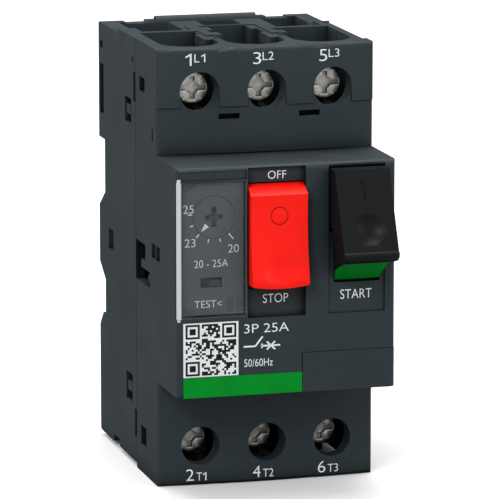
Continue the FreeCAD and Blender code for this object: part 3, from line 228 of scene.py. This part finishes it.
def metal(name, colour, rough=0.35, brushed=(1, 1, 1), shade_strength=0.55, shade_reach=0.7 * MM):
    """Plated or rolled metal: crystalline patches, fine scratches, painted highlights on edges and painted
    shade in corners and deep places.
    """
    g = Graph(name)
    patches = g.noise(0.8 * MM, 3.0)
    scratches = g.noise(0.16 * MM, 4.0, brushed)
    corners = g.node("ShaderNodeAmbientOcclusion", {"Distance": shade_reach}, samples=6).outputs["AO"]
    body = g.mix(g.span(patches, 0, 1, 0.35, 0.65), shade(colour, 0.78), shade(colour, 1.12))
    # Painted highlight: edges lighten towards a brighter copy of the colour.
    bright = g.mix(g.maths("MULTIPLY", g.edges(0.12 * MM), 0.6), body, shade(colour, 1.5))
    # Painted shade: corners and deep places darken towards a dark copy of the colour.
    tint = g.mix(g.span(corners, shade_strength, 0.0, 0.35, 0.9), bright, shade(colour, 0.16))
    gloss = g.span(scratches, rough - 0.08, rough + 0.16, 0.3, 0.7)
    return g.finish(g.surface({
        "Base Color": tint, "Roughness": gloss, "Metallic": 1.0,
        "Normal": g.bump(scratches, 0.35, 0.012 * MM),
    }))


def ink(name, colour, fade=0.12, rough=0.45):
    """Pad-printed ink: slightly uneven density and a soft sheen."""
    g = Graph(name)
    density = g.noise(0.35 * MM, 3.0)
    body = g.mix(g.span(density, 0, 1, 0.35, 0.65), shade(colour, 1 - fade), colour)
    return g.finish(g.surface({
        "Base Color": body,
        "Roughness": g.span(density, rough - 0.05, rough + 0.1),
        "Specular IOR Level": 0.25,
        "Normal": g.bump(g.noise(0.12 * MM), 0.2, 0.005 * MM),
    }))


def film(name, colour, rough=0.3):
    """Self-adhesive label: smooth film with faint orange peel and slightly soiled edges."""
    g = Graph(name)
    soil = g.noise(5 * MM, 4.0)
    body = g.mix(g.span(soil, 0, 1, 0.4, 0.7), colour, shade(colour, 0.9))
    tint = g.mix(g.maths("MULTIPLY", g.edges(0.2 * MM), 0.35), body, shade(colour, 0.6))
    return g.finish(g.surface({
        "Base Color": tint,
        "Roughness": g.span(soil, rough - 0.04, rough + 0.12),
        "Specular IOR Level": 0.08,
        "Normal": g.bump(g.noise(0.8 * MM, 2.0), 0.15, 0.02 * MM),
    }))


def clear_cover(name, left_edge):
    """Smoky clear plastic; the light its hinge edge pipes is a painted highlight, a whitish strip that is
    nearly opaque.
    """
    g = Graph(name)
    haze = g.noise(6 * MM, 3.0)
    hairs = g.noise(0.1 * MM, 3.0, (1, 1, 14))
    # Painted highlight along the hinge edge: a whitish, nearly opaque strip.
    hinge_highlight = g.span(g.axis("X"), 1.0, 0.0, left_edge + 0.75 * MM, left_edge + 0.95 * MM)
    body = g.surface({
        "Base Color": g.mix(hinge_highlight, display(150, 156, 160), display(200, 205, 208)),
        "Roughness": g.span(hairs, 0.06, 0.2, 0.3, 0.7), "Specular IOR Level": 0.6,
        "Normal": g.bump(g.noise(3 * MM, 2.0), 0.12, 0.05 * MM),
    })
    window = g.node("ShaderNodeBsdfTransparent", {"Color": (0.97, 0.98, 0.98, 1)}).outputs["BSDF"]
    glance = g.node("ShaderNodeFresnel", {"IOR": 1.5}).outputs["Fac"]
    rim = g.maths("MULTIPLY", g.edges(0.2 * MM), 0.25)
    veil = g.maths("ADD", g.span(haze, 0.0, 0.03, 0.35, 0.65), g.maths("MULTIPLY", glance, 0.35))
    share = g.maths("MAXIMUM", g.maths("ADD", veil, rim), g.maths("MULTIPLY", hinge_highlight, 0.92))
    return g.finish(g.blend(share, window, body))


def make_materials():
    """Materials by name: those of the record's slots in use, and the finishes NODE_FINISH and the
    pieces ask for."""
    cover_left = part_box("setting_cover")[0].x
    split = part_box("front_housing")[1].y
    return {
        # case_black: painted shade reaching 5 mm into recesses, and a painted shadow line along the housings'
        # joint.
        "case_black": moulded("case_black", display(42, 51, 55), 0.5, reach=5 * MM, shadow_line_y=split),
        "label_white": film("label_white", display(226, 229, 230)),
        "label_green": film("label_green", display(0, 133, 38), 0.26),
        "scale_grey": moulded("scale_grey", display(88, 93, 97), 0.55, spread=0.05, wear_and_highlight=1.2, relief=0.12,
                              reach=0),
        "clear_cover": clear_cover("clear_cover", cover_left),
        "dial_grey": moulded("dial_grey", display(90, 95, 100), 0.48, spread=0.05, wear_and_highlight=0.9, relief=0.12,
                             reach=0),
        "mech_plastic": moulded("mech_plastic", display(54, 61, 65), 0.5),
        "button_red": moulded("button_red", display(248, 24, 12), 0.36, spread=0.05, wear_and_highlight=1.1,
                              relief=0.2),
        "button_black": moulded("button_black", display(15, 17, 20), 0.42, wear_and_highlight=2.2, sheen=0.3, relief=0.3),
        "skirt_green": moulded("skirt_green", display(0, 124, 34), 0.42, spread=0.08, wear_and_highlight=1.3, sheen=0.2),
        # The metals darken with painted shade in their corners; zinc_steel and copper reach far, so their
        # parts deep in the case look dark.
        "steel": metal("steel", display(150, 152, 155), 0.34),
        "zinc_steel": metal("zinc_steel", display(104, 106, 108), 0.4, shade_strength=0.85, shade_reach=5 * MM),
        "spring_steel": metal("spring_steel", display(158, 160, 164), 0.26),
        "screw_steel": metal("screw_steel", display(222, 221, 214), 0.33, (1, 1, 6), shade_strength=0.72,
                             shade_reach=1.2 * MM),
        "carrier_plastic": moulded("carrier_plastic", display(46, 58, 52), 0.5),
        "clip_plastic": moulded("clip_plastic", display(46, 51, 54), 0.52),
        "copper": metal("copper", display(190, 124, 88), 0.32, (1, 1, 9), shade_strength=0.95, shade_reach=9 * MM),
        "coil_copper": metal("coil_copper", display(176, 84, 46), 0.22),
        "bobbin_plastic": moulded("bobbin_plastic", display(206, 198, 178), 0.55, wear_and_highlight=1.1),
        "bimetal_metal": metal("bimetal_metal", display(158, 148, 134), 0.32, (1, 1, 12)),
        "slider_grey": moulded("slider_grey", display(62, 70, 74), 0.5, relief=0.12, wear_and_highlight=1.1, reach=0),
        "trip_grey": moulded("trip_grey", display(50, 50, 48), 0.55, wear_and_highlight=1.1),
        # Darker and lighter copies of the plate's grey: painted shade and painted highlight.
        "plate_painted_shade": moulded("plate_painted_shade", display(76, 81, 84), 0.5, spread=0.06, wear_and_highlight=1.1, relief=0.12,
                               reach=0),
        "plate_painted_highlight": moulded("plate_painted_highlight", display(100, 105, 109), 0.5, spread=0.06, wear_and_highlight=1.1, relief=0.12,
                               reach=0),
        "print_white": ink("print_white", display(230, 235, 238)),
        "print_black": ink("print_black", display(9, 9, 10)),
    }


MATERIALS = make_materials()


# ---------------------------------------------------------------- finish of the CAD nodes
# Width of the rounded edges in millimetres; nodes not listed keep sharp edges.
EDGE_WIDTH = {
    "rear_housing": 0.22, "front_housing": 0.22, "front_panel": 0.14, "blank_lid": 0.16,
    "stop_button": 0.2, "start_button": 0.35, "start_skirt": 0.15, "setting_cover": 0.12,
    "setting_dial": 0.1, "test_slider": 0.1, "scale_plate": 0.05, "rail_clip": 0.2,
    "line_terminal_screws": 0.07, "load_terminal_screws": 0.07, "line_clamps": 0.15,
    "load_clamps": 0.15, "contact_carrier": 0.15,
}

# Nodes whose finish differs from their slot's.
NODE_FINISH = {"test_slider": "slider_grey", "trip_bar": "trip_grey"}


def dress_nodes():
    """Give each CAD node its material, and soften the edges of those that show."""
    for part in frame["record"]["subparts"]:
        node = NODES[part["node"]]
        finish = NODE_FINISH.get(part["node"], part["material_slot"])
        for slot in node.material_slots:
            slot.material = MATERIALS[finish]
        width = EDGE_WIDTH.get(part["node"])
        if width:
            soften(node, width * MM)


def soften(node, width):
    """Round a node's edges with modifiers, which leave its mesh as it is."""
    weld = node.modifiers.new("weld", "WELD")
    weld.merge_threshold = 0.002 * MM
    bevel = node.modifiers.new("edge_round", "BEVEL")
    bevel.width = width
    bevel.segments = 2
    bevel.limit_method = "ANGLE"
    bevel.angle_limit = math.radians(40)
    bevel.use_clamp_overlap = True
    bevel.miter_outer = "MITER_ARC"
    normals = node.modifiers.new("even_shading", "WEIGHTED_NORMAL")
    normals.mode = "FACE_AREA_WITH_ANGLE"
    normals.weight = 60


# ---------------------------------------------------------------- new pieces
def new_piece(name, mesh, body, slot, material=None):
    """A piece that rides a body; its material is its slot's unless another is named."""
    piece = bpy.data.objects.new(name, mesh)
    bpy.context.scene.collection.objects.link(piece)
    mesh.materials.append(MATERIALS[material or slot])
    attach(piece, body)
    return piece


class Print:
    """Ink laid on the front of a CAD node: flat shapes, draped over the node's own surface."""

    def __init__(self, node):
        graph = bpy.context.evaluated_depsgraph_get()
        self.surface = BVHTree.FromObject(NODES[node], graph)
        self.mesh = bmesh.new()

    def depth(self, x, z):
        """Y of the node's front surface at a place in the X-Z plane."""
        hit = self.surface.ray_cast(Vector((x, RAY_START_Y, z)), Vector((0, 1, 0)))[0]
        if hit is None:
            raise ValueError(f"no surface behind x {x / MM:.2f}, z {z / MM:.2f}")
        return hit.y

    def shape(self, corners, faces, low, high):
        """Adds faces given in the X-Z plane, as a thin slab from low to high above the surface."""
        rings = []
        for lift in (low, high):
            rings.append([self.mesh.verts.new((x, self.depth(x, z) - lift, z)) for x, z in corners])
        border = {}
        for face in faces:
            self.mesh.faces.new([rings[1][i] for i in face])
            self.mesh.faces.new([rings[0][i] for i in reversed(face)])
            for a, b in zip(face, face[1:] + face[:1]):
                border[(a, b)] = True
        for a, b in border:
            if (b, a) not in border:
                self.mesh.faces.new([rings[0][a], rings[0][b], rings[1][b], rings[1][a]])

    def patch(self, corners, low=INK_LOW, high=INK_HIGH):
        self.shape(corners, [list(range(len(corners)))], low, high)

    def box(self, left, right, bottom, top, **lifts):
        self.patch([(left, bottom), (right, bottom), (right, top), (left, top)], **lifts)

    def stroke(self, start, end, width, **lifts):
        """A straight bar between two points."""
        along = Vector(end) - Vector(start)
        side = Vector((-along.y, along.x)).normalized() * width / 2
        corners = [Vector(start) - side, Vector(end) - side, Vector(end) + side, Vector(start) + side]
        self.patch([tuple(corner) for corner in corners], **lifts)

    def one(self, left, bottom, width, height):
        """The numeral 1 with its flag, which the built-in lettering lacks."""
        bar = 0.15 * height
        right = left + width
        self.box(right - bar, right, bottom, bottom + height)
        self.stroke((right - bar * 0.6, bottom + height * 0.93), (left, bottom + height * 0.7), bar * 0.85)

    def words(self, text, left, bottom, width, height, weight=-0.008):
        """Text fitted to a box: width and height are those of the drawn letters."""
        curve = bpy.data.curves.new("lettering", "FONT")
        curve.body = text
        curve.offset = weight
        curve.resolution_u = 5
        holder = bpy.data.objects.new("lettering", curve)
        flat = holder.to_mesh()
        points = [vertex.co.copy() for vertex in flat.vertices]
        low_x = min(point.x for point in points)
        low_y = min(point.y for point in points)
        scale_x = width / (max(point.x for point in points) - low_x)
        scale_y = height / (max(point.y for point in points) - low_y)
        corners = [(left + (p.x - low_x) * scale_x, bottom + (p.y - low_y) * scale_y) for p in points]
        faces = [list(polygon.vertices) for polygon in flat.polygons]
        holder.to_mesh_clear()
        bpy.data.objects.remove(holder)
        bpy.data.curves.remove(curve)
        self.shape(corners, faces, INK_LOW, INK_HIGH)

    def done(self, name, body, slot, material="print_white"):
        bmesh.ops.recalc_face_normals(self.mesh, faces=self.mesh.faces)
        mesh = bpy.data.meshes.new(name)
        self.mesh.to_mesh(mesh)
        self.mesh.free()
        return new_piece(name, mesh, body, slot, material)


def centre_of(node):
    low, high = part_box(node)
    return (low + high) / 2


POLE_X = [centre_of(f"line_contact_{pole}").x for pole in (1, 2, 3)]


def terminal_marks():
    """Standard terminal designations over and under the screw holes."""
    line = Print("front_housing")
    load = Print("front_housing")
    for number, x in enumerate(POLE_X):
        load.words(str(2 * number + 2), x - 3.0 * MM, -43.5 * MM, 1.6 * MM, 2.4 * MM)
        if number:
            line.words(str(2 * number + 1), x - 2.95 * MM, 41.05 * MM, 1.65 * MM, 2.4 * MM)
            line.words(f"L{number + 1}", x - 1.0 * MM, 41.8 * MM, 2.3 * MM, 1.65 * MM)
            load.words(f"T{number + 1}", x - 0.88 * MM, -43.5 * MM, 2.2 * MM, 1.65 * MM)
        else:
            line.one(x - 2.86 * MM, 41.15 * MM, 1.2 * MM, 2.4 * MM)
            line.words("L", x - 1.1 * MM, 41.8 * MM, 1.0 * MM, 1.65 * MM)
            line.one(x + 0.3 * MM, 41.8 * MM, 0.8 * MM, 1.65 * MM)
            load.words("T", x - 0.88 * MM, -43.5 * MM, 1.15 * MM, 1.65 * MM)
            load.one(x + 0.45 * MM, -43.5 * MM, 0.72 * MM, 1.65 * MM)
    line.done("line_marks", "case", "case_black")
    load.done("load_marks", "case", "case_black")


def panel_words():
    """The words by the two buttons."""
    words = Print("front_panel")
    words.words("OFF", -3.6 * MM, 20.15 * MM, 3.75 * MM, 1.6 * MM)
    words.words("STOP", -4.6 * MM, -4.75 * MM, 5.2 * MM, 1.8 * MM)
    words.words("START", 11.1 * MM, -4.6 * MM, 6.5 * MM, 1.9 * MM)
    words.done("panel_words", "case", "case_black")


def breaker_symbol():
    """The standard circuit diagram sign of a breaker, and a plain rating under the cover's corner."""
    sign = Print("front_panel")
    base, left = -13.1 * MM, -8.9 * MM
    bar = 0.33 * MM
    sign.stroke((left, base), (left + 2.5 * MM, base), bar)
    sign.stroke((left + 2.35 * MM, base - 0.05 * MM), (left + 3.9 * MM, base + 1.9 * MM), bar)
    sign.stroke((left + 3.75 * MM, base - 0.45 * MM), (left + 3.75 * MM, base + 0.45 * MM), bar)
    sign.stroke((left + 3.7 * MM, base), (left + 7.5 * MM, base), bar)
    cross = left + 5.6 * MM
    for slope in (1, -1):
        rise = slope * 0.8 * MM
        sign.stroke((cross - 0.85 * MM, base - rise), (cross + 0.85 * MM, base + rise), bar)
    sign.words("3P 25A", -8.8 * MM, -10.4 * MM, 9.2 * MM, 1.8 * MM)
    sign.words("50/60Hz", -8.8 * MM, -17.2 * MM, 5.9 * MM, 1.55 * MM)
    sign.done("breaker_sign", "case", "case_black")


def code_pattern():
    """A plain seeded block pattern on the white label; it encodes nothing."""
    low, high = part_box("code_label")
    count = 25
    margin = 0.45 * MM
    cell = (high.x - low.x - 2 * margin) / count
    left, bottom = low.x + margin, (low.z + high.z) / 2 - cell * count / 2
    draw = random.Random(7)
    dark = [[draw.random() < 0.5 for _ in range(count)] for _ in range(count)]
    far = count - 7
    for corner_row, corner_column in ((0, 0), (far, 0), (far, far)):
        for row in range(-1, 8):
            for column in range(-1, 8):
                r, c = corner_row + row, corner_column + column
                if 0 <= r < count and 0 <= c < count:
                    ring = max(abs(row - 3), abs(column - 3))
                    dark[r][c] = ring in (0, 1, 3)
    blocks = Print("code_label")
    for r, line in enumerate(dark):
        start = None
        for c, filled in enumerate(line + [False]):
            if filled and start is None:
                start = c
            if not filled and start is not None:
                blocks.box(left + start * cell, left + c * cell, bottom + r * cell, bottom + (r + 1) * cell,
                           low=-0.01 * MM, high=0.015 * MM)
                start = None
    blocks.done("code_blocks", "case", "label_white", "print_black")


def heading(angle):
    """Unit vector in the X-Z plane at an angle in degrees from +X."""
    turn = math.radians(angle)
    return Vector((math.cos(turn), math.sin(turn)))


def scale_marks():
    """Current scale round the dial, its range, and the test mark."""
    centre = centre_of("setting_dial")
    hub = Vector((centre.x, centre.z))
    scale = Print("scale_plate")
    tick_inner = 4.5
    ticks = (
        (-49.0, 6.0), (-75.3, 5.2), (-104.0, 5.2), (POINTER_ANGLE, 5.4), (-160.6, 5.2), (-187.6, 5.4),
    )
    for angle, tick_outer in ticks:
        way = heading(angle)
        scale.stroke(hub + way * tick_inner * MM, hub + way * tick_outer * MM, 0.22 * MM)
    width = 2.2
    for text, x, z in (("25", -19.8, 14.85), ("23", -19.5, 8.1), ("20", -10.65, 6.65)):
        scale.words(text, (x - width / 2) * MM, (z - 0.85) * MM, width * MM, 1.65 * MM)
    scale.words("20 - 25A", -18.66 * MM, 3.05 * MM, 6.9 * MM, 1.5 * MM)
    scale.words("TEST<", -18.62 * MM, -5.05 * MM, 5.6 * MM, 1.45 * MM)
    scale.done("scale_marks", "case", "scale_grey")


def plate_pads():
    """Low pads of the scale plate that show through the cover: corner webs and catch block in a darker grey
    as painted shade, and the catch block's ledge in a lighter grey as a painted highlight.
    """
    webs = Print("scale_plate")
    lifts = {"low": INK_LOW, "high": 0.02 * MM}
    # Corner webs and catch block in a darker grey: painted shade.
    upper_web = ((-21.2, 17.7), (-18.0, 19.5), (-18.0, 19.85), (-21.2, 19.85))
    lower_web = ((-21.2, -6.45), (-18.75, -6.45), (-18.75, -5.35), (-21.2, -4.5))
    for outline in (upper_web, lower_web):
        webs.patch([(x * MM, z * MM) for x, z in outline], **lifts)
    webs.box(-12.0 * MM, -8.75 * MM, -6.2 * MM, -3.25 * MM, **lifts)
    webs.done("plate_webs", "case", "scale_grey", "plate_painted_shade")
    # Ledge and its bar in a lighter grey: painted highlight.
    ledge = Print("scale_plate")
    ledge.box(-12.1 * MM, -8.75 * MM, -6.45 * MM, -6.25 * MM, **lifts)
    ledge.box(-10.45 * MM, -10.25 * MM, -6.1 * MM, -3.4 * MM, low=0.0, high=0.035 * MM)
    ledge.done("plate_ledge", "case", "scale_grey", "plate_painted_highlight")


def dial_arrow():
    """The dial's white pointer."""
    centre = centre_of("setting_dial")
    way = heading(POINTER_ANGLE)
    side = Vector((-way.y, way.x))
    hub = Vector((centre.x, centre.z))
    tip = hub + way * 3.9 * MM
    heel = hub + way * 2.15 * MM
    pointer = Print("setting_dial")
    pointer.patch([tuple(tip), tuple(heel + side * 0.55 * MM), tuple(heel - side * 0.55 * MM)])
    pointer.done("dial_pointer", "setting_dial", "dial_grey")


def skirt_black_sides():
    """Thin black sheets on the two sides of the green skirt, over a sloping lower edge, so those sides show
    black.
    """
    low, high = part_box("start_skirt")
    # outline in millimetres, Y then Z
    outline = ((-61.1, -0.1), (-71.0, 4.05), (-68.6, 4.5), (-66.2, 10.05), (-61.65, 10.05), (-61.65, 6.3))
    build = bmesh.new()
    for face_x, way in ((low.x, -1), (high.x, 1)):
        rings = []
        for lift in (-0.03 * MM, 0.06 * MM):
            rings.append([build.verts.new((face_x + way * lift, y * MM, z * MM)) for y, z in outline])
        build.faces.new(rings[0])
        build.faces.new(rings[1])
        for k in range(len(outline)):
            after = (k + 1) % len(outline)
            build.faces.new([rings[0][k], rings[0][after], rings[1][after], rings[1][k]])
    bmesh.ops.recalc_face_normals(build, faces=build.faces)
    mesh = bpy.data.meshes.new("skirt_black_sides")
    build.to_mesh(mesh)
    build.free()
    new_piece("skirt_black_sides", mesh, "start_button", "button_black")


# ---------------------------------------------------------------- springs
def coil_mesh(name, low, high, axis, wire, turns, steps=26, ring=10):
    """A compression spring with closed ends that fills a box along one axis."""
    cross = [i for i in range(3) if i != axis]
    # turns at each end that lie flat, and how far one of them climbs
    closed = 0.8
    flat = 2 * wire * 1.02
    middle = (low + high) / 2
    radius = (high[cross[0]] - low[cross[0]]) / 2 - wire
    length = high[axis] - low[axis] - 2 * wire
    rise = (length - 2 * closed * flat) / turns
    total = turns + 2 * closed
    count = int(total * steps)
    build = bmesh.new()

    def along(turn):
        if turn < closed:
            return turn * flat
        if turn > total - closed:
            return length - (total - turn) * flat
        return closed * flat + (turn - closed) * rise

    def point(turn):
        where = Vector(middle)
        where[axis] = low[axis] + wire + along(turn)
        where[cross[0]] += radius * math.cos(2 * math.pi * turn)
        where[cross[1]] += radius * math.sin(2 * math.pi * turn)
        return where

    forward = Vector((0, 0, 0))
    forward[axis] = 1
    rings = []
    for i in range(count + 1):
        turn = total * i / count
        where = point(turn)
        out = where - middle
        out[axis] = 0
        out.normalize()
        rings.append([build.verts.new(
            where + (out * math.cos(a) + forward * math.sin(a)) * wire
        ) for a in (2 * math.pi * k / ring for k in range(ring))])
    for first, second in zip(rings, rings[1:]):
        for k in range(ring):
            build.faces.new([first[k], first[(k + 1) % ring], second[(k + 1) % ring], second[k]])
    build.faces.new(rings[0])
    build.faces.new(rings[-1][::-1])
    bmesh.ops.recalc_face_normals(build, faces=build.faces)
    for face in build.faces:
        face.smooth = True
    mesh = bpy.data.meshes.new(name)
    build.to_mesh(mesh)
    build.free()
    return mesh


def springs():
    """Wound springs in place of the CAD ones, which they hide; each rides the case."""
    # node, joint, axis, wire radius in millimetres, turns, share of length kept at the joint's limit
    table = (
        ("start_return_spring", "start_press", 1, 0.25, 5, 0.73),
        ("stop_return_spring", "stop_press", 1, 0.25, 5, 0.86),
        ("rail_clip_spring", "clip_pull", 2, 0.2, 11, 0.78),
    )
    for node, joint, axis, wire, turns, keep in table:
        low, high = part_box(node)
        mesh = coil_mesh(f"{node}_wire", low, high, axis, wire * MM, turns)
        piece = new_piece(f"{node}_wire", mesh, "case", "spring_steel")
        way = Vector((0, 0, 0))
        way[axis] = 1
        anchor = (low + high) / 2
        anchor[axis] = high[axis] if axis == 1 else low[axis]
        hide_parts(node)
        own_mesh(piece)


# ---------------------------------------------------------------- stage, light and camera
def stage():
    """A pale floor just under the object, greyer to the light than to the camera."""
    mesh = bpy.data.meshes.new("floor")
    reach = 5.0
    height = CAD_BOUNDS[0].z - 0.05 * MM
    outline = ((-reach, -reach), (reach, -reach), (reach, reach), (-reach, reach))
    mesh.from_pydata([(x, y, height) for x, y in outline], [], [(0, 1, 2, 3)])
    floor = bpy.data.objects.new("floor", mesh)
    bpy.context.scene.collection.objects.link(floor)
    g = Graph("floor_paper")
    seen = g.node("ShaderNodeLightPath").outputs["Is Camera Ray"]
    paper = g.mix(g.noise(0.4, 2.0), (0.93, 0.93, 0.93, 1), (0.96, 0.96, 0.96, 1))
    tint = g.mix(seen, (0.34, 0.34, 0.34, 1), paper)
    mesh.materials.append(g.finish(g.surface({
        "Base Color": tint, "Roughness": 0.8, "Specular IOR Level": 0.1,
    })))


def area_light(name, position, target, size, power):
    """A round soft light, size metres across, aimed at the target."""
    data = bpy.data.lights.new(name, "AREA")
    data.shape = "DISK"
    data.size = size
    data.energy = power
    light = bpy.data.objects.new(name, data)
    bpy.context.scene.collection.objects.link(light)
    light.location = position
    light.rotation_mode = "QUATERNION"
    light.rotation_quaternion = (Vector(target) - Vector(position)).to_track_quat("-Z", "Y")


def lights():
    """An even studio with a key light from the upper left."""
    world = bpy.data.worlds.new("studio")
    world.use_nodes = True
    background = world.node_tree.nodes["Background"]
    background.inputs["Color"].default_value = (1.0, 1.0, 1.0, 1.0)
    background.inputs["Strength"].default_value = 0.62
    bpy.context.scene.world = world
    centre = (CAD_BOUNDS[0] + CAD_BOUNDS[1]) / 2
    area_light("key", (-0.85, -1.1, 0.95), centre, 0.7, 13.5)
    area_light("fill", (1.2, -1.0, 0.5), centre, 1.2, 6)
    area_light("top", (0.1, 0.2, 1.5), centre, 1.2, 18)
    area_light("back", (-0.6, 1.4, 0.7), centre, 1.0, 7)


def camera():
    """A long lens, a little to the left of the front and a little above it."""
    azimuth, elevation = math.radians(-15.51), math.radians(10.95)
    distance = 0.895
    lens_per_sensor = 8.735
    target = Vector((1.87, -30.0, -0.48)) * MM
    back = Vector((
        math.sin(azimuth) * math.cos(elevation),
        -math.cos(azimuth) * math.cos(elevation),
        math.sin(elevation),
    ))
    data = bpy.data.cameras.new("camera")
    data.sensor_width = 36.0
    data.lens = lens_per_sensor * data.sensor_width
    data.clip_start = 0.05
    data.clip_end = 30.0
    view = bpy.data.objects.new("camera", data)
    bpy.context.scene.collection.objects.link(view)
    view.location = target + back * distance
    view.rotation_mode = "QUATERNION"
    view.rotation_quaternion = (-back).to_track_quat("-Z", "Y")
    bpy.context.scene.camera = view
    bpy.context.scene.view_settings.view_transform = "Standard"


dress_nodes()
terminal_marks()
panel_words()
breaker_symbol()
code_pattern()
scale_marks()
plate_pads()
dial_arrow()
skirt_black_sides()
springs()
stage()
lights()
camera()
